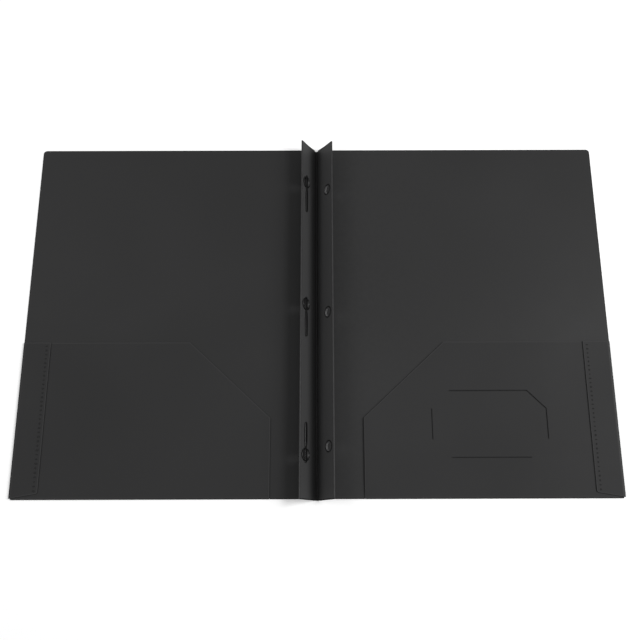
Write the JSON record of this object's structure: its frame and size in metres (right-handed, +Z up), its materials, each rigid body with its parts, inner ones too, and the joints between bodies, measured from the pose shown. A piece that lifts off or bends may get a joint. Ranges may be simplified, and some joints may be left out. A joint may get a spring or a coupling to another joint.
{
  "type": "plastic pocket folder",
  "caption": "Black plastic pocket folder lying open, with a folded spine gusset, bendable prong fasteners and slit card holder; its creases hinge closed.",
  "frame": {"origin": "under the middle of the open folder, on the surface that it lies on", "axes": "+X to the right across the open covers, +Y along the spine to the far end away from the pockets, +Z up"},
  "size_m": [0.4762, 0.2996, 0.0192],
  "materials": {
    "cover_plastic": "satin, fine grain",
    "pocket_plastic": "satin, fine grain",
    "fin_plastic": "satin, creased",
    "fastener_plastic": "smooth moulded"
  },
  "bodies": {
    "right_panel": {"right_cover": "cover_plastic", "right_pocket": "pocket_plastic", "right_side_flap": "pocket_plastic"},
    "right_fin": {"right_fin_inner_wall": "fin_plastic", "right_fin_outer_wall": "fin_plastic", "right_fin_ridge": "fin_plastic", "valley_crease": "fin_plastic"},
    "left_fin": {"left_fin_inner_wall": "fin_plastic", "left_fin_outer_wall": "fin_plastic", "left_fin_ridge": "fin_plastic", "fastener_base_far": "fastener_plastic", "fastener_base_middle": "fastener_plastic", "fastener_base_near": "fastener_plastic"},
    "left_panel": {"left_cover": "cover_plastic", "left_pocket": "pocket_plastic", "left_side_flap": "pocket_plastic"},
    "prong_far": {"prong_far": "fastener_plastic"},
    "prong_middle": {"prong_middle": "fastener_plastic"},
    "prong_near": {"prong_near": "fastener_plastic"}
  },
  "joints": [
    {"name": "right_base_fold", "type": "hinge", "parent": "right_panel", "child": "right_fin", "pos_m": [0.00247, 0, 0.0007], "axis": [0, -1, 0], "range_deg": [-57, 0]},
    {"name": "valley_fold", "type": "hinge", "parent": "right_fin", "child": "left_fin", "pos_m": [0, 0, 0.0013], "axis": [0, -1, 0], "range_deg": [-66, 0]},
    {"name": "left_cover_fold", "type": "hinge", "parent": "left_fin", "child": "left_panel", "pos_m": [-0.00247, 0, 0.0007], "axis": [0, -1, 0], "range_deg": [-57, 0]},
    {"name": "prong_far_bend", "type": "hinge", "parent": "left_fin", "child": "prong_far", "pos_m": [-0.00836, 0.1063, 0.01399], "axis": [-0.5446, 0, 0.8387], "range_deg": [0, 90]},
    {"name": "prong_middle_bend", "type": "hinge", "parent": "left_fin", "child": "prong_middle", "pos_m": [-0.00836, -0.00165, 0.01399], "axis": [-0.5446, 0, 0.8387], "range_deg": [0, 90]},
    {"name": "prong_near_bend", "type": "hinge", "parent": "left_fin", "child": "prong_near", "pos_m": [-0.00836, -0.1096, 0.01399], "axis": [0.5446, 0, -0.8387], "range_deg": [0, 90]}
  ],
  "couplings": [
    {"joint": "valley_fold", "follows": "left_cover_fold", "ratio": 1.1579}
  ]
}
